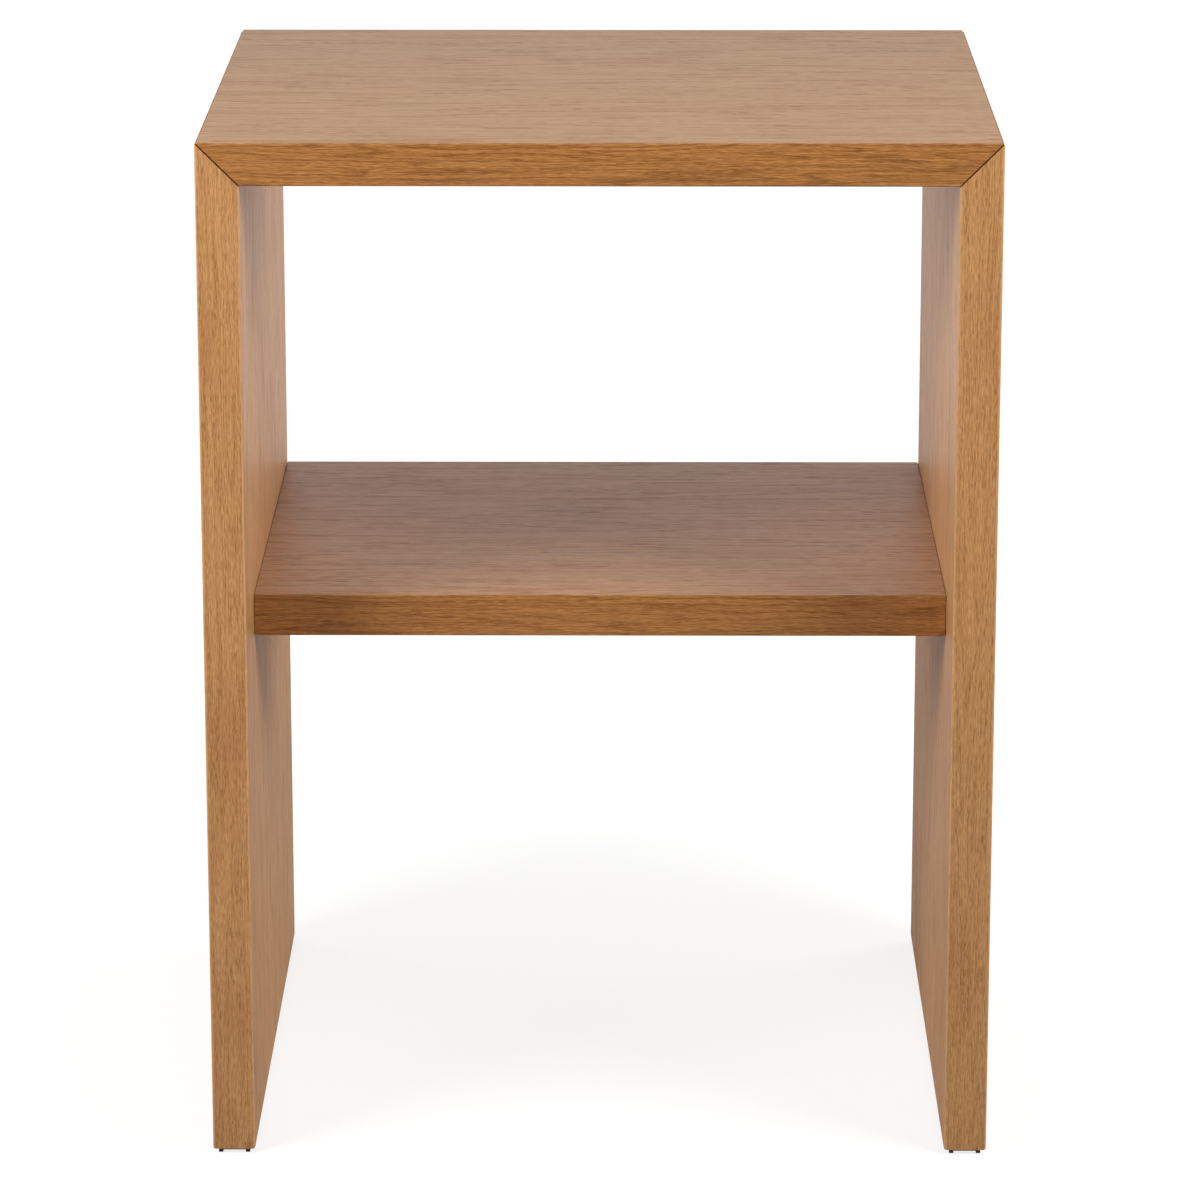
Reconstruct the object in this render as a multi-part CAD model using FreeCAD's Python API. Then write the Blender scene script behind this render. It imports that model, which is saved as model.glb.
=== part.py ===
import FreeCAD, Part
import math
import os

# Open nightstand in veneered board: a top and two sides mitred together, and a fixed shelf between
# the sides. Millimetres, Z up, front towards -Y, origin on the floor below the middle of the top.

# Overall size, glides included
width = 460.0
depth = 400.0
height = 610.0

# Boards: a core with a veneer on each face and a band on the front and rear edges
board_thickness = 25.0
veneer_thickness = 0.8
band_thickness = 1.0

# Shelf
shelf_underside_height = 302.0
shelf_front_setback = 66.0

# Eased edges: the long arrises of the bands, the outer mitred corners, the feet of the sides, the
# groove along each mitre and the groove at each end of the shelf
arris_radius = 0.8
corner_ease = 1.5
foot_ease = 1.0
mitre_groove_width = 0.9
shelf_end_groove = 0.4

# Dowels: rows stand at the middle of each joint and at an inset from the board's edges
dowel_inset = 45.0
dowel_clearance = 0.05
dowel_end_clearance = 0.5
dowel_chamfer = 0.6

# Mitre dowels stand square to the mitre, and a wall of board is left between each hole and the
# outer faces
mitre_dowel_diameter = 6.0
mitre_hole_wall = 2.2

# Shelf dowels lie level, partly in the side and partly in the shelf
shelf_dowel_diameter = 8.0
shelf_dowel_in_side = 12.0
shelf_dowel_in_shelf = 20.0

# Glides under the sides: moulded pads that stand on two runners, each held by a nail between them
glide_width = 18.6
glide_length = 20.0
glide_height = 3.0
glide_base_thickness = 1.2
glide_inset = 12.0
glide_end_round = 1.0
runner_width = 2.6
runner_round = 0.7
nail_diameter = 2.2
nail_length = 16.0
nail_head_diameter = 5.5
nail_head_thickness = 1.0
nail_clearance = 0.05
nail_end_clearance = 0.5

# Positions worked out from the sizes above
half_width = width / 2
inner_half_width = half_width - board_thickness
front = -depth / 2
rear = depth / 2
core_front = front + band_thickness
core_rear = rear - band_thickness
top_underside = height - board_thickness
top_middle = height - board_thickness / 2
side_middle = half_width - board_thickness / 2
shelf_top = shelf_underside_height + board_thickness
shelf_middle = shelf_underside_height + board_thickness / 2
shelf_front = front + shelf_front_setback
diagonal = math.sqrt(2)
mitre_hole_depth = diagonal * (board_thickness / 2 - mitre_hole_wall) - mitre_dowel_diameter / 2
nail_seat = glide_height - glide_base_thickness
nail_start = nail_seat - nail_head_thickness
nail_hole_diameter = nail_diameter + 2 * nail_clearance

top_dowel_rows = [front + dowel_inset, (front + rear) / 2, rear - dowel_inset]
shelf_dowel_rows = [shelf_front + dowel_inset, (shelf_front + rear) / 2, rear - dowel_inset]
glide_rows = [front + glide_inset, rear - glide_inset]
hands = {"left": -1, "right": 1}
edges_along_depth = {"front": -1, "rear": 1}

# Cutters reach past what they cut by this much
overreach = board_thickness

# Points closer than this are one point
tolerance = 1e-6


def point(x, y, z):
    return FreeCAD.Vector(x, y, z)


def block(low, high):
    """Box between two corners."""
    size = [top - bottom for bottom, top in zip(low, high)]
    return Part.makeBox(*size, point(*low))


def rod(diameter, length, start, direction):
    return Part.makeCylinder(diameter / 2, length, start, direction)


def turned(outline, start, direction):
    """Solid turned from an outline of (distance along the axis, radius) points."""
    corners = [point(radius, 0, distance) for distance, radius in outline]
    face = Part.Face(Part.makePolygon(corners + corners[:1]))
    solid = face.revolve(point(0, 0, 0), point(0, 0, 1), 360)
    turn = FreeCAD.Rotation(point(0, 0, 1), direction)
    solid.Placement = FreeCAD.Placement(start, turn)
    return solid


def rounded_face(corners, place):
    """Face with square corners, each given as two coordinates and the radius that rounds it.

    place turns the two coordinates into a point.
    """
    spots = [place(first, second) for first, second, _ in corners]
    radii = [radius for _, _, radius in corners]
    starts = []
    ends = []
    edges = []
    for index, (spot, radius) in enumerate(zip(spots, radii)):
        back = (spots[index - 1] - spot).normalize()
        onward = (spots[(index + 1) % len(spots)] - spot).normalize()
        starts.append(spot + back * radius)
        ends.append(spot + onward * radius)
        if radius > 0:
            knee = spot + (back + onward) * (radius * (1 - 1 / diagonal))
            edges.append(Part.Arc(starts[-1], knee, ends[-1]).toShape())
    for index, start in enumerate(starts):
        if not start.isEqual(ends[index - 1], tolerance):
            edges.append(Part.LineSegment(ends[index - 1], start).toShape())
    return Part.Face(Part.Wire(Part.__sortEdges__(edges)))


def cutter(outline, hand):
    """Cutter with an outline in X and Z for the right hand, through the whole depth."""
    corners = [point(hand * x, front - overreach, z) for x, z in outline]
    face = Part.Face(Part.makePolygon(corners + corners[:1]))
    return face.extrude(point(0, depth + 2 * overreach, 0))


def export(solids, node):
    shape = solids[0] if len(solids) == 1 else Part.makeCompound(solids)
    shape.exportStep(os.path.join("parts", node + ".step"))


# Directions at a joint

def outwards(hand):
    return point(hand, 0, 0)


def mitre_centre(hand, row):
    return point(hand * side_middle, row, top_middle)


def across_mitre(hand):
    """From the top into the side, square to the mitre."""
    return point(hand, 0, -1).normalize()


# Cutters that trim the boards

def past_mitre(hand, of_top, groove=0.0):
    """Everything past the mitre, for the top or for a side, set back by half of a groove."""
    setback = groove / 2 * diagonal
    low = (inner_half_width - overreach, top_underside - overreach)
    high = (half_width + overreach, height + overreach)
    if of_top:
        outline = [(x - setback, z) for x, z in (low, high, (high[0], low[1]))]
    else:
        outline = [(x, z - setback) for x, z in (low, high, (low[0], high[1]))]
    return cutter(outline, hand)


def past_corner(hand):
    """The outer tip of a mitred corner, taken off at 45 degrees."""
    outline = [
        (half_width - corner_ease, height),
        (half_width - corner_ease, height + overreach),
        (half_width + overreach, height + overreach),
        (half_width + overreach, height - corner_ease),
        (half_width, height - corner_ease),
    ]
    return cutter(outline, hand)


def past_feet(hand):
    """The two long bottom edges of a side, taken off at 45 degrees."""
    cutters = []
    for face, out in ((half_width, 1), (inner_half_width, -1)):
        outline = [
            (face, glide_height + foot_ease),
            (face + out * foot_ease, glide_height + foot_ease),
            (face + out * foot_ease, glide_height - foot_ease),
            (face - out * foot_ease, glide_height - foot_ease),
            (face - out * foot_ease, glide_height),
        ]
        cutters.append(cutter(outline, hand))
    return cutters


# Edge bands

def band_profile(low, high, edge, out, place):
    """Section of a band from low to high across the board, with its two outer arrises rounded."""
    back = edge - out * band_thickness
    radius = min(arris_radius, band_thickness)
    return rounded_face([(low, back, 0), (low, edge, radius), (high, edge, radius), (high, back, 0)], place)


def level_band(bottom, top, edge, out, half_length):
    """Band along X."""
    profile = band_profile(bottom, top, edge, out, lambda across, y: point(-half_length, y, across))
    return profile.extrude(point(2 * half_length, 0, 0))


def upright_band(left, right, edge, out, bottom, top):
    """Band along Z."""
    profile = band_profile(left, right, edge, out, lambda across, y: point(across, y, bottom))
    return profile.extrude(point(0, 0, top - bottom))


# Holes in the boards

def mitre_holes(hand, of_top):
    direction = across_mitre(hand) * (-1 if of_top else 1)
    return [
        rod(mitre_dowel_diameter, mitre_hole_depth, mitre_centre(hand, row), direction)
        for row in top_dowel_rows
    ]


def shelf_holes(hand, depth_of_hole, direction):
    """Holes for the shelf's dowels, from a side's inner face into the side or into the shelf."""
    return [
        rod(
            shelf_dowel_diameter,
            depth_of_hole + dowel_end_clearance,
            point(hand * inner_half_width, row, shelf_middle),
            direction,
        )
        for row in shelf_dowel_rows
    ]


def nail_holes(hand):
    return [
        rod(
            nail_hole_diameter,
            nail_length + nail_end_clearance,
            point(hand * side_middle, row, nail_start),
            point(0, 0, 1),
        )
        for row in glide_rows
    ]


# Boards

def make_top():
    mitres = []
    grooves = []
    corners = []
    holes = []
    for hand in hands.values():
        mitres.append(past_mitre(hand, True))
        grooves.append(past_mitre(hand, True, mitre_groove_width))
        corners.append(past_corner(hand))
        holes += mitre_holes(hand, True)

    def layer(bottom, top):
        return block((-half_width, core_front, bottom), (half_width, core_rear, top))

    upper = height - veneer_thickness
    lower = top_underside + veneer_thickness
    export([layer(lower, upper).cut(mitres + corners + holes)], "top_core")
    export([layer(upper, height).cut(grooves + corners)], "top_upper_veneer")
    export([layer(top_underside, lower).cut(grooves)], "top_lower_veneer")
    for name, out in edges_along_depth.items():
        band = level_band(top_underside, height, out * rear, out, half_width)
        export([band.cut(grooves + corners)], f"top_{name}_band")


def make_side(name, hand):
    mitre = past_mitre(hand, False)
    groove = past_mitre(hand, False, mitre_groove_width)
    eased = [past_corner(hand)] + past_feet(hand)
    dowel_holes = shelf_holes(hand, shelf_dowel_in_side, outwards(hand))
    core_holes = mitre_holes(hand, False) + dowel_holes + nail_holes(hand)

    def layer(inner, outer):
        left, right = sorted((hand * inner, hand * outer))
        return block((left, core_front, glide_height), (right, core_rear, height))

    outer = half_width - veneer_thickness
    inner = inner_half_width + veneer_thickness
    outer_veneer = layer(outer, half_width)
    inner_veneer = layer(inner_half_width, inner)
    export([layer(inner, outer).cut([mitre] + eased + core_holes)], f"{name}_side_core")
    export([outer_veneer.cut([groove] + eased)], f"{name}_side_outer_veneer")
    export([inner_veneer.cut([groove] + eased + dowel_holes)], f"{name}_side_inner_veneer")
    left, right = sorted((hand * inner_half_width, hand * half_width))
    for edge_name, out in edges_along_depth.items():
        band = upright_band(left, right, out * rear, out, glide_height, height)
        export([band.cut([groove] + eased)], f"{name}_side_{edge_name}_band")


def make_shelf():
    holes = []
    for hand in hands.values():
        holes += shelf_holes(hand, shelf_dowel_in_shelf, outwards(-hand))

    def layer(half_length, bottom, top):
        low = (-half_length, shelf_front + band_thickness, bottom)
        return block(low, (half_length, core_rear, top))

    eased_half = inner_half_width - shelf_end_groove
    upper = shelf_top - veneer_thickness
    lower = shelf_underside_height + veneer_thickness
    export([layer(inner_half_width, lower, upper).cut(holes)], "shelf_core")
    export([layer(eased_half, upper, shelf_top)], "shelf_upper_veneer")
    export([layer(eased_half, shelf_underside_height, lower)], "shelf_lower_veneer")
    for name, edge in (("front", shelf_front), ("rear", rear)):
        out = edges_along_depth[name]
        band = level_band(shelf_underside_height, shelf_top, edge, out, eased_half)
        export([band], f"shelf_{name}_band")


# Dowels

def make_dowel(hole_diameter, length, start, direction):
    radius = hole_diameter / 2 - dowel_clearance
    outline = [
        (0, 0),
        (0, radius - dowel_chamfer),
        (dowel_chamfer, radius),
        (length - dowel_chamfer, radius),
        (length, radius - dowel_chamfer),
        (length, 0),
    ]
    return turned(outline, start, direction)


def make_mitre_dowel(hand, row):
    half = mitre_hole_depth - dowel_end_clearance
    start = mitre_centre(hand, row) - across_mitre(hand) * half
    return make_dowel(mitre_dowel_diameter, 2 * half, start, across_mitre(hand))


def make_shelf_dowel(hand, row):
    length = shelf_dowel_in_shelf + shelf_dowel_in_side
    start = point(hand * (inner_half_width - shelf_dowel_in_shelf), row, shelf_middle)
    return make_dowel(shelf_dowel_diameter, length, start, outwards(hand))


# Glides

def make_glide_pad(hand, row):
    """Moulded pad on two runners, rounded along their edges and at their ends, with a hole for its nail."""
    middle = hand * side_middle
    half = glide_width / 2
    inner = half - runner_width
    front_end = row - glide_length / 2
    rear_end = row + glide_length / 2
    section = rounded_face(
        [
            (middle - half, glide_height, 0),
            (middle - half, 0, runner_round),
            (middle - inner, 0, runner_round),
            (middle - inner, nail_seat, 0),
            (middle + inner, nail_seat, 0),
            (middle + inner, 0, runner_round),
            (middle + half, 0, runner_round),
            (middle + half, glide_height, 0),
        ],
        lambda x, z: point(x, front_end, z),
    )
    flank = rounded_face(
        [
            (front_end, glide_height, 0),
            (front_end, 0, glide_end_round),
            (rear_end, 0, glide_end_round),
            (rear_end, glide_height, 0),
        ],
        lambda y, z: point(middle - half, y, z),
    )
    pad = section.extrude(point(0, glide_length, 0)).common(flank.extrude(point(glide_width, 0, 0)))
    hole = rod(nail_hole_diameter, glide_height, point(middle, row, 0), point(0, 0, 1))
    return pad.cut(hole)


def make_glide_nail(hand, row):
    """Nail with a flat head and a point as long as its shank is wide."""
    shank = nail_diameter / 2
    head = nail_head_diameter / 2
    outline = [
        (0, 0),
        (0, head),
        (nail_head_thickness, head),
        (nail_head_thickness, shank),
        (nail_length - nail_diameter, shank),
        (nail_length, 0),
    ]
    return turned(outline, point(hand * side_middle, row, nail_start), point(0, 0, 1))


def make_group(node, make_one, rows):
    """Like pieces at both hands and every row, in one node."""
    export([make_one(hand, row) for hand in hands.values() for row in rows], node)


os.makedirs("parts", exist_ok=True)
make_top()
for side_name, side_hand in hands.items():
    make_side(side_name, side_hand)
make_shelf()
make_group("mitre_dowels", make_mitre_dowel, top_dowel_rows)
make_group("shelf_dowels", make_shelf_dowel, shelf_dowel_rows)
make_group("glide_pads", make_glide_pad, glide_rows)
make_group("glide_nails", make_glide_nail, glide_rows)
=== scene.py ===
import math

import bmesh
import bpy
import numpy
from bpy.props import (
    BoolProperty,
    CollectionProperty,
    FloatProperty,
    FloatVectorProperty,
    IntProperty,
    PointerProperty,
    StringProperty,
)
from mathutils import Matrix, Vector


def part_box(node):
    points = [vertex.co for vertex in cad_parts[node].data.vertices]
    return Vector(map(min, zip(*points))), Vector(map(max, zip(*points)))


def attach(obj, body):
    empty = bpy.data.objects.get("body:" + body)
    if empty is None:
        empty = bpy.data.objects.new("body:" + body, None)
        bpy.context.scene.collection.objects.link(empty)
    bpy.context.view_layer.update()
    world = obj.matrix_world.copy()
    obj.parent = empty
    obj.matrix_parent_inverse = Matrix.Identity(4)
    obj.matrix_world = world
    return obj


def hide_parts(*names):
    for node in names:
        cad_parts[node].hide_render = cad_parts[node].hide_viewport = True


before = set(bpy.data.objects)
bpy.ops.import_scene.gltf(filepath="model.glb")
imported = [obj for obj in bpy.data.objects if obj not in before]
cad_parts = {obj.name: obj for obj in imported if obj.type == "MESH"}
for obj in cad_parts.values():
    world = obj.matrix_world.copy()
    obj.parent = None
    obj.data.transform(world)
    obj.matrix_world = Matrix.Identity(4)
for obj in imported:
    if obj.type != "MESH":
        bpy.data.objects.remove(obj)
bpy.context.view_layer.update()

bl_info = {
    "name": "Oak nightstand finish",
    "version": (1, 0, 0),
    "blender": (4, 5, 0),
    "location": "View3D > Sidebar > Nightstand",
    "description": "Finishes the pieces of an open oak nightstand and sets its stage",
    "category": "Object",
}

# The body that the dowels are attached to, and the names of the three axes
BODY = "root"
AXES = "XYZ"

# For each board: the axis its grain runs along, the axes across its faces and across its edges, and
# the names of its two faces
BOARDS = {
    "top": ("X", "Y", "Z", ("upper", "lower")),
    "shelf": ("X", "Y", "Z", ("upper", "lower")),
    "left_side": ("Z", "Y", "X", ("outer", "inner")),
    "right_side": ("Z", "Y", "X", ("outer", "inner")),
}
EDGES = ("front", "rear")

# The figure of the oak, with lengths in metres. Faces share all of it, and bands a part
FACE_FIGURE = {
    "waviness": 0.0006,
    "swell_length": 0.352,
    "swell_width": 0.016,
    "ring_depth": 0.60,
    "streak_length": 0.065,
    "streak_width": 0.0021,
    "fibre_length": 0.012,
    "fibre_width": 0.0010,
    "dash_length": 0.010,
    "dash_width": 0.0008,
    "dash_depth": 0.45,
    "wear": 0.10,
}
BAND_FIGURE = {
    "swell_length": 0.198,
    "swell_width": 0.009,
    "ring_depth": 0.35,
    "streak_length": 0.110,
    "fibre_length": 0.008,
}

# How the oak looks on each kind of surface. The sides' faces and bands are painted paler than those of
# the level boards: painted light, for the light that the sides catch and that their upright grain
# reflects
CUTS = {
    "level face": {
        "pale": (0.56, 0.300, 0.124),
        "dark": (0.42, 0.210, 0.077),
        **FACE_FIGURE,
    },
    # Painted paler than the level face: painted light on the sides' faces
    "side face": {
        "pale": (0.72, 0.398, 0.178),
        "dark": (0.535, 0.278, 0.111),
        **FACE_FIGURE,
    },
    # Painted paler than the level band: painted light on the upright grain
    "upright band": {
        "pale": (0.70, 0.364, 0.147),
        "dark": (0.50, 0.234, 0.079),
        **BAND_FIGURE,
        "waviness": 0.0005,
        "streak_width": 0.0008,
        "fibre_width": 0.0005,
        "dash_length": 0.0055,
        "dash_width": 0.0005,
        "dash_depth": 0.50,
        # The upright bands carry a strong painted highlight along their arrises
        "wear": 0.80,
    },
    "level band": {
        "pale": (0.61, 0.270, 0.080),
        "dark": (0.252, 0.0945, 0.0193),
        **BAND_FIGURE,
        "waviness": 0.0009,
        "streak_width": 0.0006,
        "fibre_width": 0.00045,
        "dash_length": 0.0065,
        "dash_width": 0.00045,
        "dash_depth": 0.60,
        "wear": 0.05,
    },
}

# The oak's node group, and its sockets that take a setting of a cut
OAK_GROUP = "Oak Figure"
FIGURE_SOCKETS = {setting: setting.replace("_", " ").title() for setting in FACE_FIGURE}

# Slow forms in the oak: how often they come in a metre, along, across and through the board
WANDER_RATE = (3.0, 20.0, 20.0)
RIPPLE_RATE = (32.0, 70.0, 70.0)
PATCH_RATE = (9.0, 40.0, 40.0)

# How far grain lines wander and ripple, in times the waviness
WANDER_REACH = 10.0
RIPPLE_REACH = 3.0

# Growth rings over the full height of a swell, and where in a ring the early wood starts and is full
RINGS = 10.0
EARLY_WOOD = (0.22, 0.45)

# Noise levels at which pores, warm patches and the fibres of the painted arris highlight start and are
# full
PORE_START = (0.46, 0.58)
PATCH_START = (0.50, 0.75)
HIGHLIGHT_START = (0.3, 0.6)

# The most that a warm patch shows, and the least and most that the painted arris highlight shows
PATCH_SHARE = 0.45
HIGHLIGHT_SPAN = (0.6, 1.0)

# Weight of streaks and fibres in the tone, and the tone's distance from its middle at dark and at pale
STREAK_WEIGHT = 2.6
FIBRE_WEIGHT = 2.2
TONE_REACH = 0.9

# Lacquer: its roughness, what pores and fibres add to it, and how high fibres stand against pores
LACQUER_IOR = 1.5
LACQUER_ROUGHNESS = 0.40
PORE_ROUGHNESS = 0.14
FIBRE_ROUGHNESS = 0.10
FIBRE_RISE = 0.35

# How far apart the boards lie in the oak's noise, in metres
BOARD_STEP = Vector((1.7, 0.83, 0.41))

# Plain noise lies mostly between these levels
NOISE_RANGE = (0.3, 0.7)

# Core board: specks in a metre, how much paler they are, the noise levels where they start and are
# full, and the range of roughness
SPECK_RATE = 900.0
SPECK_SHADE = 1.7
SPECK_START = (0.35, 0.75)
CORE_ROUGHNESS = (0.75, 0.9)

# Dowels: attributes for which way each one lies and for a place within it, the path and section they
# are drawn with, and the fibres of their wood
DOWEL_NODES = ("mitre_dowels", "shelf_dowels")
DOWEL_AXIS = "dowel_axis"
FIBRE_PLACE = "fibre_place"
PATH_POINTS = 4
FLUTE_POINTS = 8
MERGE_DISTANCE = 1e-6
BEECH_RATE = (2500.0, 2500.0, 180.0)
BEECH_SHADE = 0.75
BEECH_ROUGHNESS = (0.6, 0.75)

# Glides and nails: the setting with their colour, how metallic they are, and their grains in a metre
GLIDES = {
    "glide_pads": ("plastic", 0.0, 2500.0),
    "glide_nails": ("steel", 1.0, 1200.0),
}
GLIDE_SHADE = 0.8
GLIDE_ROUGHNESS = (0.35, 0.55)

# Floor: its corners, its dull paint, and the distances in metres over which it turns fully white
FLOOR_CORNERS = 128
FLOOR_ROUGHNESS = 0.9
FLOOR_SPECULAR = 0.1
WHITENING = (0.3, 1.4)
WHITE = (1.0, 1.0, 1.0, 1.0)

# Camera: the width of its sensor in millimetres, and how far it sees in metres
SENSOR_WIDTH = 36.0
CAMERA_REACH = 100.0

# Softboxes: where they stand, what they face, their width and height, their power in watts, and
# whether they show in the lacquer
SOFTBOX_SIZE = (0.6, 0.75)
LAMPS = {
    "left": {
        "place": (-1.06, -0.86, 1.00),
        "target": (0.0, -0.2, 0.3),
        "size": SOFTBOX_SIZE,
        "power": 16.3,
        "mirrored": False,
    },
    "right": {
        "place": (1.11, -0.77, 1.10),
        "target": (0.0, -0.2, 0.4),
        "size": SOFTBOX_SIZE,
        "power": 15.5,
        "mirrored": False,
    },
    "rear left": {
        "place": (-1.10, 0.85, 0.28),
        "target": (0.0, 0.2, 0.3),
        "size": SOFTBOX_SIZE,
        "power": 7.0,
        "mirrored": False,
    },
    "rear right": {
        "place": (1.10, 0.85, 0.28),
        "target": (0.0, 0.2, 0.3),
        "size": SOFTBOX_SIZE,
        "power": 14.0,
        "mirrored": False,
    },
    "overhead": {
        "place": (0.0, -0.20, 2.11),
        "target": (0.0, 0.0, 0.61),
        "size": (1.0, 0.8),
        "power": 5.0,
        "mirrored": False,
    },
    "backdrop": {
        "place": (0.0, 1.50, 1.02),
        "target": (0.0, 0.0, 1.02),
        "size": (2.8, 2.04),
        "power": 11.0,
        "mirrored": True,
    },
}


# Settings

def colour_property(name, description, default):
    return FloatVectorProperty(
        name=name, description=description, default=default, subtype="COLOR", size=3, min=0.0, max=1.0
    )


def length_property(name, description, default):
    return FloatProperty(
        name=name, description=description, default=default, min=0.0, unit="LENGTH", precision=5
    )


def share_property(name, description, default):
    return FloatProperty(
        name=name, description=description, default=default, min=0.0, max=1.0, subtype="FACTOR"
    )


def lengths_property(name, description, default):
    return FloatVectorProperty(
        name=name, description=description, default=default, size=len(default), unit="LENGTH"
    )


def angle_property(name, description, degrees):
    return FloatProperty(
        name=name, description=description, default=math.radians(degrees), unit="ROTATION"
    )


class OakCut(bpy.types.PropertyGroup):
    """Colours and figure of the oak on one kind of surface."""

    name: StringProperty(name="Name", description="Kind of surface", default="")
    pale: colour_property("Pale", "Lightest wood", (0.5, 0.25, 0.1))
    dark: colour_property("Dark", "Darkest streaks", (0.4, 0.2, 0.08))
    waviness: length_property("Waviness", "How far the grain lines wander", 0.0006)
    swell_length: length_property("Swell Length", "Length of a swell that rings run round", 0.35)
    swell_width: length_property("Swell Width", "Width of a swell, about five rings", 0.016)
    ring_depth: share_property("Ring Depth", "How much the early wood of a ring stands out", 0.5)
    streak_length: length_property("Streak Length", "Length of a streak", 0.06)
    streak_width: length_property("Streak Width", "Width of a streak", 0.002)
    fibre_length: length_property("Fibre Length", "Length of a bundle of fibres", 0.01)
    fibre_width: length_property("Fibre Width", "Width of a bundle of fibres", 0.001)
    dash_length: length_property("Dash Length", "Length of an open pore", 0.01)
    dash_width: length_property("Dash Width", "Distance between open pores", 0.001)
    dash_depth: share_property("Dash Depth", "How dark the open pores are", 0.5)
    # Share of the painted highlight: a pale colour laid along the arrises for the light their rounding
    # catches
    wear: share_property("Wear", "How pale the wood is along its arrises", 0.2)


class OakSettings(bpy.types.PropertyGroup):
    """What all of the oak shares, and how it is cut on each kind of surface."""

    warm: colour_property("Warm Patches", "Reddish patches", (0.46, 0.185, 0.070))
    pore: colour_property("Pores", "Stain that sits in the open pores", (0.19, 0.060, 0.010))
    relief: length_property("Pore Relief", "Depth of the pores under the lacquer", 0.00005)
    # Painted highlight: a pale colour laid along the arrises, and how far it reaches, stand in for the
    # light their rounding catches
    worn: colour_property("Worn Arrises", "Wood where an arris is rubbed", (0.85, 0.50, 0.25))
    highlight_reach: length_property("Wear Reach", "How far rubbed wood reaches from an arris", 0.0016)
    cuts: CollectionProperty(type=OakCut, name="Cuts", description="Kinds of surface")


class FittingSettings(bpy.types.PropertyGroup):
    """Core board, dowels, glides and nails."""

    core: colour_property("Core Board", "Fibre board under the veneer", (0.150, 0.038, 0.006))
    beech: colour_property("Beech", "Dowel wood", (0.60, 0.40, 0.23))
    steel: colour_property("Nail Steel", "Zinc plated steel", (0.56, 0.55, 0.52))
    plastic: colour_property("Glide Plastic", "Moulded plastic of the glides", (0.085, 0.050, 0.034))
    flutes: IntProperty(name="Flutes", description="Grooves round a dowel", default=14, min=6, max=40)
    flute_depth: length_property("Flute Depth", "Depth of a dowel's grooves", 0.00035)
    dowel_chamfer: length_property("Dowel Chamfer", "Taper at a dowel's ends", 0.0006)


class Lamp(bpy.types.PropertyGroup):
    """One softbox."""

    name: StringProperty(name="Name", description="Place of the softbox", default="")
    place: lengths_property("Place", "Middle of the softbox", (0.0, -1.0, 1.0))
    target: lengths_property("Target", "Point that it faces", (0.0, 0.0, 0.3))
    size: lengths_property("Size", "Width and height", SOFTBOX_SIZE)
    power: FloatProperty(name="Power", description="Power of the lamp", default=15.0, unit="POWER")
    mirrored: BoolProperty(name="Mirrored", description="Whether it shows in the lacquer", default=False)


class StageSettings(bpy.types.PropertyGroup):
    """Floor, light and camera."""

    floor_radius: length_property("Floor Radius", "Radius of the round floor", 18.0)
    floor: colour_property("Floor", "Paint of the floor", (0.25, 0.25, 0.25))
    floor_glow: share_property("Floor Glow", "Least level that the camera sees in the shadow", 0.80)
    surround: share_property("Surround", "Level of the even light from all round", 0.12)
    sheen: share_property("Sheen", "Level at which the surround shows in the lacquer", 0.25)
    floor_sheen: share_property("Floor Sheen", "Level at which the floor shows in the lacquer", 0.12)
    camera_place: lengths_property("Camera", "Place of the camera", (0.0165, -3.276, 1.1736))
    camera_tilt: angle_property("Tilt", "Camera's angle below level", 15.13)
    camera_turn: angle_property("Turn", "Camera's turn to the left", 0.301)
    lens: FloatProperty(name="Lens", description="Focal length", default=165.0, unit="CAMERA")
    lamps: CollectionProperty(type=Lamp, name="Lamps", description="Softboxes")


# Node helpers

def add_node(tree, kind, inputs=None, **settings):
    """Adds a node, sets its settings and fills its inputs with values or with links."""
    node = tree.nodes.new(kind)
    for name, value in settings.items():
        setattr(node, name, value)
    for name, value in (inputs or {}).items():
        if isinstance(value, bpy.types.NodeSocket):
            tree.links.new(value, node.inputs[name])
        else:
            node.inputs[name].default_value = value
    return node


def calculate(tree, operation, first, second=0.0):
    return add_node(tree, "ShaderNodeMath", {0: first, 1: second}, operation=operation).outputs[0]


def vector_math(tree, operation, first, second):
    return add_node(tree, "ShaderNodeVectorMath", {0: first, 1: second}, operation=operation).outputs[0]


def combine(tree, x, y, z):
    return add_node(tree, "ShaderNodeCombineXYZ", {"X": x, "Y": y, "Z": z}).outputs[0]


def fit_range(tree, value, low, high, new_low=0.0, new_high=1.0):
    """Carries a value smoothly from one range to another, and stops at the ends."""
    inputs = {"Value": value, "From Min": low, "From Max": high, "To Min": new_low, "To Max": new_high}
    return add_node(tree, "ShaderNodeMapRange", inputs, interpolation_type="SMOOTHSTEP").outputs[0]


def noise(tree, vector, detail=2.0, roughness=0.5, scale=1.0):
    inputs = {"Vector": vector, "Scale": scale, "Detail": detail, "Roughness": roughness}
    return add_node(tree, "ShaderNodeTexNoise", inputs).outputs["Fac"]


def drawn_noise(tree, vector, length, width, detail, roughness=0.5):
    """Noise drawn out along X, in cells of a length and a width."""
    cell = combine(tree, length, width, width)
    return noise(tree, vector_math(tree, "DIVIDE", vector, cell), detail, roughness)


def swing(tree, value, amount):
    """A noise value about nought, times an amount."""
    return calculate(tree, "MULTIPLY", calculate(tree, "SUBTRACT", value, 0.5), amount)


def mix_colours(tree, share, first, second):
    node = add_node(tree, "ShaderNodeMix", {0: share, 6: first, 7: second}, data_type="RGBA")
    return node.outputs[2]


def opaque(colour, shade=1.0):
    """A colour with full alpha, made darker or paler by a shade."""
    return (*(min(1.0, part * shade) for part in colour), 1.0)


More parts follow.
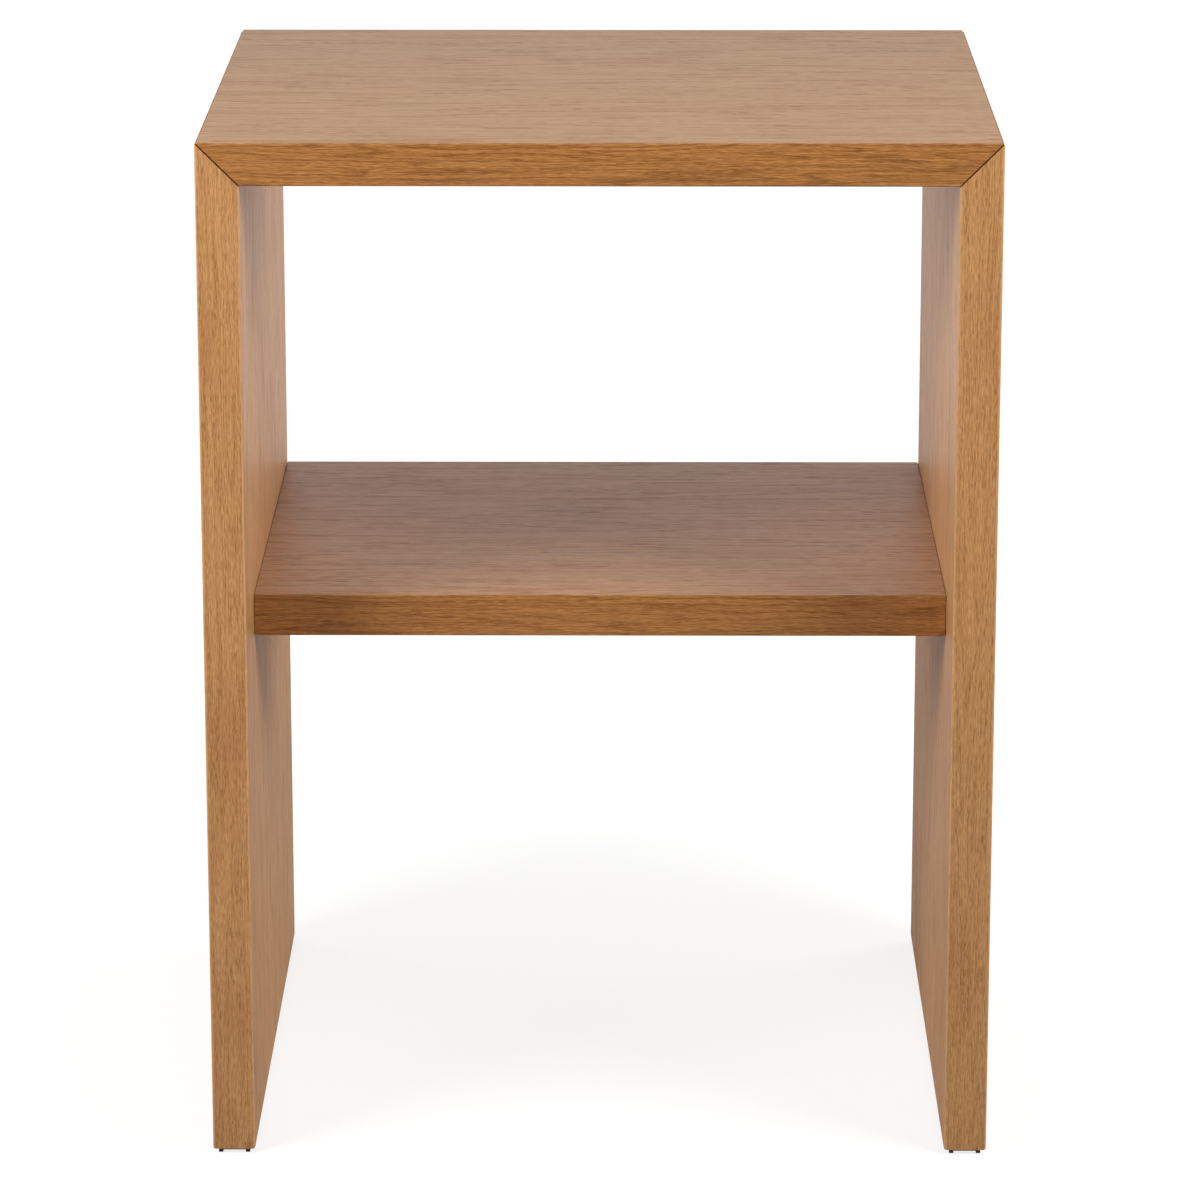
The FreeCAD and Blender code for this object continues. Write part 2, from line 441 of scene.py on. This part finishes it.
def new_group(tree_kind, name, inputs, outputs):
    """An empty node group with its sockets, given as names and kinds."""
    group = bpy.data.node_groups.new(name, tree_kind + "NodeTree")
    for socket, kind in inputs.items():
        group.interface.new_socket(socket, in_out="INPUT", socket_type="NodeSocket" + kind)
    for socket, kind in outputs.items():
        group.interface.new_socket(socket, in_out="OUTPUT", socket_type="NodeSocket" + kind)
    return group, group.nodes.new("NodeGroupInput").outputs, group.nodes.new("NodeGroupOutput").inputs


def new_material(name):
    """An empty material, its node tree and its Principled shader."""
    material = bpy.data.materials.new(name)
    material.use_nodes = True
    shader = material.node_tree.nodes["Principled BSDF"]
    return material, material.node_tree, shader


def object_place(tree):
    return add_node(tree, "ShaderNodeTexCoord").outputs["Object"]


def finish_nodes(names, material):
    """Puts a material on CAD nodes."""
    for name in names:
        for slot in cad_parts[name].material_slots:
            slot.material = material


# Oak

def build_oak_figure():
    """Node group for oak on a face cut along the grain, which runs along X of the Grain input."""
    group, given, made = new_group(
        "Shader",
        OAK_GROUP,
        {
            "Grain": "Vector",
            "Arris": "Float",
            **dict.fromkeys(FIGURE_SOCKETS.values(), "Float"),
            "Pale": "Color",
            "Dark": "Color",
            "Warm": "Color",
            "Pore": "Color",
            "Worn": "Color",
        },
        {"Colour": "Color", "Roughness": "Float", "Height": "Float"},
    )
    grain = given["Grain"]

    # Lines that wander slowly along the board, with a ripple
    wander = noise(group, vector_math(group, "MULTIPLY", grain, WANDER_RATE))
    ripple = noise(group, vector_math(group, "MULTIPLY", grain, RIPPLE_RATE), detail=1.0)
    sway = calculate(
        group,
        "ADD",
        swing(group, wander, calculate(group, "MULTIPLY", given["Waviness"], WANDER_REACH)),
        swing(group, ripple, calculate(group, "MULTIPLY", given["Waviness"], RIPPLE_REACH)),
    )
    wavy = vector_math(group, "ADD", grain, combine(group, 0.0, sway, 0.0))

    # Growth rings: level lines of slow swells, with dark early wood
    swells = drawn_noise(group, wavy, given["Swell Length"], given["Swell Width"], detail=1.0)
    phase = calculate(group, "PINGPONG", calculate(group, "MULTIPLY", swells, RINGS), 0.5)
    early = fit_range(group, phase, *EARLY_WOOD)

    # Streaks, bundles of fibres and wide patches
    streaks = drawn_noise(
        group, wavy, given["Streak Length"], given["Streak Width"], detail=4.0, roughness=0.6
    )
    fibres = drawn_noise(
        group, wavy, given["Fibre Length"], given["Fibre Width"], detail=3.0, roughness=0.6
    )
    patches = noise(group, vector_math(group, "MULTIPLY", grain, PATCH_RATE))

    # Open pores: thin dashes along the grain, most of them in the early wood
    dashes = drawn_noise(
        group, wavy, given["Dash Length"], given["Dash Width"], detail=2.0, roughness=0.55
    )
    fewest = calculate(group, "SUBTRACT", 1.0, given["Ring Depth"])
    crowd = fit_range(group, early, 0.0, 1.0, fewest, 1.0)
    pores = calculate(group, "MULTIPLY", fit_range(group, dashes, *PORE_START), crowd)

    # Colour: wood from dark to pale, then warm patches, stained pores and a painted highlight along the
    # arrises
    tone = calculate(
        group, "ADD", swing(group, streaks, STREAK_WEIGHT), swing(group, fibres, FIBRE_WEIGHT)
    )
    tone = calculate(group, "SUBTRACT", tone, swing(group, early, given["Ring Depth"]))
    tone = fit_range(group, tone, -TONE_REACH, TONE_REACH)
    colour = mix_colours(group, tone, given["Dark"], given["Pale"])
    warmth = fit_range(group, patches, *PATCH_START, 0.0, PATCH_SHARE)
    colour = mix_colours(group, warmth, colour, given["Warm"])
    stain = calculate(group, "MULTIPLY", pores, given["Dash Depth"])
    colour = mix_colours(group, stain, colour, given["Pore"])
    # Painted highlight: the arrises are painted paler, broken up by the fibres, for the light their
    # rounding catches
    highlighted = calculate(
        group, "MULTIPLY", given["Arris"], fit_range(group, fibres, *HIGHLIGHT_START, *HIGHLIGHT_SPAN)
    )
    highlighted = calculate(group, "MULTIPLY", highlighted, given["Wear"])
    group.links.new(mix_colours(group, highlighted, colour, given["Worn"]), made["Colour"])

    # Lacquer that is duller over pores, and sinks into them
    dull = calculate(
        group,
        "ADD",
        calculate(group, "MULTIPLY", pores, PORE_ROUGHNESS),
        swing(group, fibres, FIBRE_ROUGHNESS),
    )
    group.links.new(calculate(group, "ADD", dull, LACQUER_ROUGHNESS), made["Roughness"])
    rise = calculate(group, "SUBTRACT", calculate(group, "MULTIPLY", fibres, FIBRE_RISE), pores)
    group.links.new(rise, made["Height"])
    return group


def oak_figure():
    """The oak's node group, built once."""
    return bpy.data.node_groups.get(OAK_GROUP) or build_oak_figure()


def grain_vector(tree, axes, along, across, offset):
    """Object coordinates with X along the grain and Y across it, moved so that each board differs."""
    (through,) = set(AXES) - {along, across}
    turned = combine(tree, axes[along], axes[across], axes[through])
    return add_node(tree, "ShaderNodeMapping", {"Vector": turned, "Location": offset}).outputs[0]


def arris_mask(tree, coordinate, low, high, reach):
    """1 at a surface's two arrises, at a low and a high coordinate, falling to 0 within a reach."""
    middle = (low + high) / 2
    half = (high - low) / 2
    off_middle = calculate(tree, "ABSOLUTE", calculate(tree, "SUBTRACT", coordinate, middle))
    return fit_range(tree, off_middle, half - reach, half)


def oak_material(name, oak, cut, grain, node):
    """Lacquered oak in one of its cuts. grain is its axes and offset, and node shows its arrises."""
    material, tree, shader = new_material(name)
    axes = add_node(tree, "ShaderNodeSeparateXYZ", {0: object_place(tree)}).outputs
    along, across, offset = grain
    low, high = (corner[AXES.index(across)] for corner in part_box(node))
    values = {
        "Grain": grain_vector(tree, axes, along, across, offset),
        # The arris mask places the painted highlight
        "Arris": arris_mask(tree, axes[across], low, high, oak.highlight_reach),
        **{socket: getattr(cut, setting) for setting, socket in FIGURE_SOCKETS.items()},
        "Pale": opaque(cut.pale),
        "Dark": opaque(cut.dark),
        "Warm": opaque(oak.warm),
        "Pore": opaque(oak.pore),
        "Worn": opaque(oak.worn),
    }
    figure = add_node(tree, "ShaderNodeGroup", values, node_tree=oak_figure()).outputs
    tree.links.new(figure["Colour"], shader.inputs["Base Color"])
    tree.links.new(figure["Roughness"], shader.inputs["Roughness"])
    relief = {"Strength": 1.0, "Distance": oak.relief, "Height": figure["Height"]}
    bump = add_node(tree, "ShaderNodeBump", relief).outputs[0]
    tree.links.new(bump, shader.inputs["Normal"])
    shader.inputs["IOR"].default_value = LACQUER_IOR
    return material


def board_offset(index):
    """A far-off place in the figure for each board, so that no two boards share their grain."""
    return BOARD_STEP * (index + 1)


class NIGHTSTAND_OT_face_veneers(bpy.types.Operator):
    """Finish the two faces of each board in lacquered oak veneer"""

    bl_idname = "nightstand.face_veneers"
    bl_label = "Face Veneers"

    def execute(self, context):
        oak = context.scene.nightstand_oak
        for index, (board, (along, across, _, faces)) in enumerate(BOARDS.items()):
            # The sides take the paler cuts, which hold painted light
            cut = oak.cuts["side face" if along == "Z" else "level face"]
            nodes = [f"{board}_{face}_veneer" for face in faces]
            grain = (along, across, board_offset(index))
            finish_nodes(nodes, oak_material(f"{board} veneer", oak, cut, grain, nodes[0]))
        return {"FINISHED"}


class NIGHTSTAND_OT_edge_bands(bpy.types.Operator):
    """Finish the bands on the front and rear edges of each board"""

    bl_idname = "nightstand.edge_bands"
    bl_label = "Edge Bands"

    def execute(self, context):
        oak = context.scene.nightstand_oak
        for index, (board, (along, _, across, _)) in enumerate(BOARDS.items()):
            # The sides take the paler cuts, which hold painted light
            cut = oak.cuts["upright band" if along == "Z" else "level band"]
            nodes = [f"{board}_{edge}_band" for edge in EDGES]
            grain = (along, across, board_offset(index + len(BOARDS)))
            finish_nodes(nodes, oak_material(f"{board} band", oak, cut, grain, nodes[0]))
        return {"FINISHED"}


# Cores

class NIGHTSTAND_OT_cores(bpy.types.Operator):
    """Finish the cores of the boards in brown fibre board"""

    bl_idname = "nightstand.cores"
    bl_label = "Cores"

    def execute(self, context):
        core = context.scene.nightstand_fittings.core
        material, tree, shader = new_material("core board")
        specks = noise(tree, object_place(tree), detail=3.0, roughness=0.7, scale=SPECK_RATE)
        share = fit_range(tree, specks, *SPECK_START)
        mixed = mix_colours(tree, share, opaque(core), opaque(core, SPECK_SHADE))
        tree.links.new(mixed, shader.inputs["Base Color"])
        dull = fit_range(tree, specks, *NOISE_RANGE, *CORE_ROUGHNESS)
        tree.links.new(dull, shader.inputs["Roughness"])
        finish_nodes([f"{board}_core" for board in BOARDS], material)
        return {"FINISHED"}


# Dowels

def fluted_dowels():
    """Geometry node group that puts a fluted dowel on each point of a mesh, along the point's axis."""
    tree, given, made = new_group(
        "Geometry",
        "Fluted Dowels",
        {
            "Points": "Geometry",
            "Length": "Float",
            "Radius": "Float",
            "Chamfer": "Float",
            "Flutes": "Int",
            "Flute Depth": "Float",
            "Material": "Material",
        },
        {"Dowels": "Geometry"},
    )

    # A path of four points: the two ends, and where their chamfers start
    line = add_node(tree, "GeometryNodeCurvePrimitiveLine").outputs[0]
    line = add_node(tree, "GeometryNodeResampleCurve", {"Curve": line, "Count": PATH_POINTS}).outputs[0]
    index = add_node(tree, "GeometryNodeInputIndex").outputs[0]
    off_middle = calculate(tree, "SUBTRACT", index, (PATH_POINTS - 1) / 2)
    at_end = calculate(tree, "SUBTRACT", calculate(tree, "ABSOLUTE", off_middle), 0.5)
    taper = calculate(tree, "MULTIPLY", given["Chamfer"], at_end)
    half = calculate(tree, "MULTIPLY", given["Length"], 0.5)
    body = calculate(tree, "SUBTRACT", half, given["Chamfer"])
    reach = calculate(tree, "ADD", body, taper)
    height = calculate(tree, "MULTIPLY", calculate(tree, "SIGN", off_middle), reach)
    inputs = {"Geometry": line, "Position": combine(tree, 0.0, 0.0, height)}
    line = add_node(tree, "GeometryNodeSetPosition", inputs).outputs[0]
    girth = calculate(tree, "SUBTRACT", given["Radius"], taper)

    # A round section of radius 1 with grooves
    fineness = calculate(tree, "MULTIPLY", given["Flutes"], FLUTE_POINTS)
    section = add_node(tree, "GeometryNodeCurvePrimitiveCircle", {"Resolution": fineness}).outputs[0]
    turn = add_node(tree, "GeometryNodeSplineParameter").outputs["Factor"]
    angle = calculate(tree, "MULTIPLY", calculate(tree, "MULTIPLY", turn, given["Flutes"]), math.tau)
    groove = calculate(tree, "MAXIMUM", calculate(tree, "COSINE", angle), 0.0)
    depth = calculate(tree, "DIVIDE", given["Flute Depth"], given["Radius"])
    share = calculate(tree, "SUBTRACT", 1.0, calculate(tree, "MULTIPLY", groove, depth))
    place = add_node(tree, "GeometryNodeInputPosition").outputs[0]
    inputs = {0: place, "Scale": share}
    spot = add_node(tree, "ShaderNodeVectorMath", inputs, operation="SCALE").outputs[0]
    inputs = {"Geometry": section, "Position": spot}
    section = add_node(tree, "GeometryNodeSetPosition", inputs).outputs[0]

    # One dowel, which keeps its own coordinates for its fibres, then a copy on each point
    vectors = {"data_type": "FLOAT_VECTOR"}
    inputs = {"Curve": line, "Profile Curve": section, "Scale": girth, "Fill Caps": True}
    dowel = add_node(tree, "GeometryNodeCurveToMesh", inputs).outputs[0]
    inputs = {"Geometry": dowel, "Name": FIBRE_PLACE, "Value": place}
    dowel = add_node(tree, "GeometryNodeStoreNamedAttribute", inputs, **vectors).outputs[0]
    axis = add_node(tree, "GeometryNodeInputNamedAttribute", {"Name": DOWEL_AXIS}, **vectors).outputs[0]
    turned = add_node(tree, "FunctionNodeAlignRotationToVector", {"Vector": axis}, axis="Z").outputs[0]
    inputs = {"Points": given["Points"], "Instance": dowel, "Rotation": turned}
    copies = add_node(tree, "GeometryNodeInstanceOnPoints", inputs).outputs[0]
    solid = add_node(tree, "GeometryNodeRealizeInstances", {"Geometry": copies}).outputs[0]
    inputs = {"Geometry": solid, "Material": given["Material"]}
    tree.links.new(add_node(tree, "GeometryNodeSetMaterial", inputs).outputs[0], made["Dowels"])
    return tree


def measure_rods(node):
    """The middle and axis of each rod in a CAD node, and the rods' length and radius."""
    shape = bmesh.new()
    shape.from_mesh(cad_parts[node].data)
    bmesh.ops.remove_doubles(shape, verts=shape.verts, dist=MERGE_DISTANCE)
    seen = set()
    rods = []
    for start in shape.verts:
        if start in seen:
            continue
        seen.add(start)
        rod = [start]
        # The list grows while it is walked, until the whole rod is in it
        for vertex in rod:
            linked = [link.other_vert(vertex) for link in vertex.link_edges]
            rod += [other for other in linked if other not in seen]
            seen.update(linked)
        points = numpy.array([vertex.co for vertex in rod])
        middle = (points.min(axis=0) + points.max(axis=0)) / 2
        axis = numpy.linalg.svd(points - middle)[2][0]
        # Of the axis's two directions, the one upwards, or to the right on a level rod
        if tuple(axis[::-1].round(3)) < (0.0, 0.0, 0.0):
            axis = -axis
        along = (points - middle) @ axis
        round_it = numpy.linalg.norm(points - middle - numpy.outer(along, axis), axis=1)
        rods.append((middle, axis, numpy.ptp(along), round_it.max()))
    shape.free()
    middles, axes, lengths, radii = zip(*rods)
    return middles, axes, max(lengths), max(radii)


class NIGHTSTAND_OT_dowels(bpy.types.Operator):
    """Make the fluted beech dowels of the mitres and of the shelf"""

    bl_idname = "nightstand.dowels"
    bl_label = "Dowels"

    def execute(self, context):
        fittings = context.scene.nightstand_fittings
        tree = fluted_dowels()
        material = self.beech(fittings.beech)
        for node in DOWEL_NODES:
            self.make_row(context, node, tree, fittings, material)
        return {"FINISHED"}

    def beech(self, colour):
        """Raw beech, with fibres along each dowel."""
        material, tree, shader = new_material("beech dowel")
        place = add_node(tree, "ShaderNodeAttribute", attribute_name=FIBRE_PLACE).outputs["Vector"]
        fibres = noise(tree, vector_math(tree, "MULTIPLY", place, BEECH_RATE), detail=3.0)
        mixed = mix_colours(tree, fibres, opaque(colour, BEECH_SHADE), opaque(colour))
        tree.links.new(mixed, shader.inputs["Base Color"])
        dull = fit_range(tree, fibres, *NOISE_RANGE, *BEECH_ROUGHNESS)
        tree.links.new(dull, shader.inputs["Roughness"])
        return material

    def make_row(self, context, node, tree, fittings, material):
        """Puts fluted dowels in the place of the plain ones in a CAD node."""
        middles, axes, length, radius = measure_rods(node)
        points = bpy.data.meshes.new(node)
        points.from_pydata(middles, [], [])
        directions = points.attributes.new(DOWEL_AXIS, "FLOAT_VECTOR", "POINT")
        directions.data.foreach_set("vector", numpy.ravel(axes))
        dowels = bpy.data.objects.new(f"fluted_{node}", points)
        context.scene.collection.objects.link(dowels)
        modifier = dowels.modifiers.new("Fluted Dowels", "NODES")
        modifier.node_group = tree
        sockets = {item.name: item.identifier for item in tree.interface.items_tree}
        modifier[sockets["Length"]] = float(length)
        modifier[sockets["Radius"]] = float(radius)
        modifier[sockets["Chamfer"]] = fittings.dowel_chamfer
        modifier[sockets["Flutes"]] = fittings.flutes
        modifier[sockets["Flute Depth"]] = fittings.flute_depth
        modifier[sockets["Material"]] = material
        made = dowels.evaluated_get(context.evaluated_depsgraph_get())
        mesh = bpy.data.meshes.new_from_object(made)
        # Set Material leaves an empty first slot, so the one material is set again
        mesh.materials.clear()
        mesh.materials.append(material)
        dowels.modifiers.remove(modifier)
        dowels.data = mesh
        bpy.data.meshes.remove(points)
        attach(dowels, BODY)
        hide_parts(node)


# Glides

class NIGHTSTAND_OT_glides(bpy.types.Operator):
    """Finish the glides in moulded plastic and their nails in plated steel"""

    bl_idname = "nightstand.glides"
    bl_label = "Glides and Nails"

    def execute(self, context):
        fittings = context.scene.nightstand_fittings
        for node, (setting, metallic, rate) in GLIDES.items():
            colour = getattr(fittings, setting)
            material, tree, shader = new_material(node.replace("_", " "))
            grain = noise(tree, object_place(tree), detail=3.0, scale=rate)
            mixed = mix_colours(tree, grain, opaque(colour, GLIDE_SHADE), opaque(colour))
            tree.links.new(mixed, shader.inputs["Base Color"])
            dull = fit_range(tree, grain, *NOISE_RANGE, *GLIDE_ROUGHNESS)
            tree.links.new(dull, shader.inputs["Roughness"])
            shader.inputs["Metallic"].default_value = metallic
            finish_nodes([node], material)
        return {"FINISHED"}


# Stage

def whiteness(tree, seen, mirrored, otherwise):
    """Level for rays from the camera, for those mirrored or passed on to it, and for the rest."""
    rays = add_node(tree, "ShaderNodeLightPath").outputs
    onward = calculate(tree, "MAXIMUM", rays["Is Glossy Ray"], rays["Is Transmission Ray"])
    level = fit_range(tree, onward, 0.0, 1.0, otherwise, mirrored)
    return calculate(tree, "MAXIMUM", level, calculate(tree, "MULTIPLY", rays["Is Camera Ray"], seen))


def add_softbox(lamp):
    light = bpy.data.lights.new(lamp.name, "AREA")
    light.shape = "RECTANGLE"
    light.size, light.size_y = lamp.size
    light.energy = lamp.power
    softbox = bpy.data.objects.new(lamp.name, light)
    bpy.context.scene.collection.objects.link(softbox)
    softbox.location = lamp.place
    facing = Vector(lamp.target) - Vector(lamp.place)
    softbox.rotation_euler = facing.to_track_quat("-Z", "Y").to_euler()
    softbox.visible_camera = False
    softbox.visible_glossy = lamp.mirrored


class NIGHTSTAND_OT_stage(bpy.types.Operator):
    """Set the floor, the light and the camera"""

    bl_idname = "nightstand.stage"
    bl_label = "Stage"

    def execute(self, context):
        stage = context.scene.nightstand_stage
        self.lay_floor(stage)
        self.light(stage)
        self.place_camera(stage)
        context.scene.view_settings.view_transform = "Standard"
        return {"FINISHED"}

    def lay_floor(self, stage):
        mesh = bpy.data.meshes.new("floor")
        shape = bmesh.new()
        bmesh.ops.create_circle(shape, cap_ends=True, segments=FLOOR_CORNERS, radius=stage.floor_radius)
        shape.to_mesh(mesh)
        shape.free()
        floor = bpy.data.objects.new("floor", mesh)
        bpy.context.scene.collection.objects.link(floor)
        material, tree, shader = new_material("floor paint")
        shader.inputs["Base Color"].default_value = opaque(stage.floor)
        shader.inputs["Roughness"].default_value = FLOOR_ROUGHNESS
        shader.inputs["Specular IOR Level"].default_value = FLOOR_SPECULAR
        shader.inputs["Emission Color"].default_value = WHITE
        inputs = {0: object_place(tree)}
        away = add_node(tree, "ShaderNodeVectorMath", inputs, operation="LENGTH").outputs["Value"]
        seen = fit_range(tree, away, *WHITENING, stage.floor_glow, 1.0)
        glow = whiteness(tree, seen, stage.floor_sheen, 0.0)
        tree.links.new(glow, shader.inputs["Emission Strength"])
        mesh.materials.append(material)

    def light(self, stage):
        world = bpy.data.worlds.new("studio")
        bpy.context.scene.world = world
        world.use_nodes = True
        tree = world.node_tree
        background = tree.nodes["Background"].inputs
        background["Color"].default_value = WHITE
        tree.links.new(whiteness(tree, 1.0, stage.sheen, stage.surround), background["Strength"])
        for lamp in stage.lamps:
            add_softbox(lamp)

    def place_camera(self, stage):
        camera = bpy.data.objects.new("camera", bpy.data.cameras.new("camera"))
        bpy.context.scene.collection.objects.link(camera)
        camera.location = stage.camera_place
        camera.rotation_euler = (math.pi / 2 - stage.camera_tilt, 0.0, stage.camera_turn)
        camera.data.sensor_width = SENSOR_WIDTH
        camera.data.lens = stage.lens
        camera.data.clip_end = CAMERA_REACH
        bpy.context.scene.camera = camera


# Add-on

OPERATORS = (
    NIGHTSTAND_OT_face_veneers,
    NIGHTSTAND_OT_edge_bands,
    NIGHTSTAND_OT_cores,
    NIGHTSTAND_OT_dowels,
    NIGHTSTAND_OT_glides,
    NIGHTSTAND_OT_stage,
)


class NIGHTSTAND_PT_finish(bpy.types.Panel):
    """Finish of the nightstand, step by step"""

    bl_label = "Nightstand"
    bl_idname = "NIGHTSTAND_PT_finish"
    bl_space_type = "VIEW_3D"
    bl_region_type = "UI"
    bl_category = "Nightstand"

    def draw(self, context):
        for operator in OPERATORS:
            self.layout.operator(operator.bl_idname)


SETTINGS = {
    "nightstand_oak": OakSettings,
    "nightstand_fittings": FittingSettings,
    "nightstand_stage": StageSettings,
}
CLASSES = (OakCut, Lamp, *SETTINGS.values(), *OPERATORS, NIGHTSTAND_PT_finish)


def register():
    for entry in CLASSES:
        bpy.utils.register_class(entry)
    for name, settings in SETTINGS.items():
        setattr(bpy.types.Scene, name, PointerProperty(type=settings))


def unregister():
    for name in SETTINGS:
        delattr(bpy.types.Scene, name)
    for entry in reversed(CLASSES):
        bpy.utils.unregister_class(entry)


def fill(collection, table):
    """Adds a named entry with its settings for each row of a table."""
    for name, values in table.items():
        entry = collection.add()
        entry.name = name
        for key, value in values.items():
            setattr(entry, key, value)


def main():
    register()
    fill(bpy.context.scene.nightstand_oak.cuts, CUTS)
    fill(bpy.context.scene.nightstand_stage.lamps, LAMPS)
    bpy.ops.nightstand.face_veneers()
    bpy.ops.nightstand.edge_bands()
    bpy.ops.nightstand.cores()
    bpy.ops.nightstand.dowels()
    bpy.ops.nightstand.glides()
    bpy.ops.nightstand.stage()


if __name__ == "__main__":
    main()
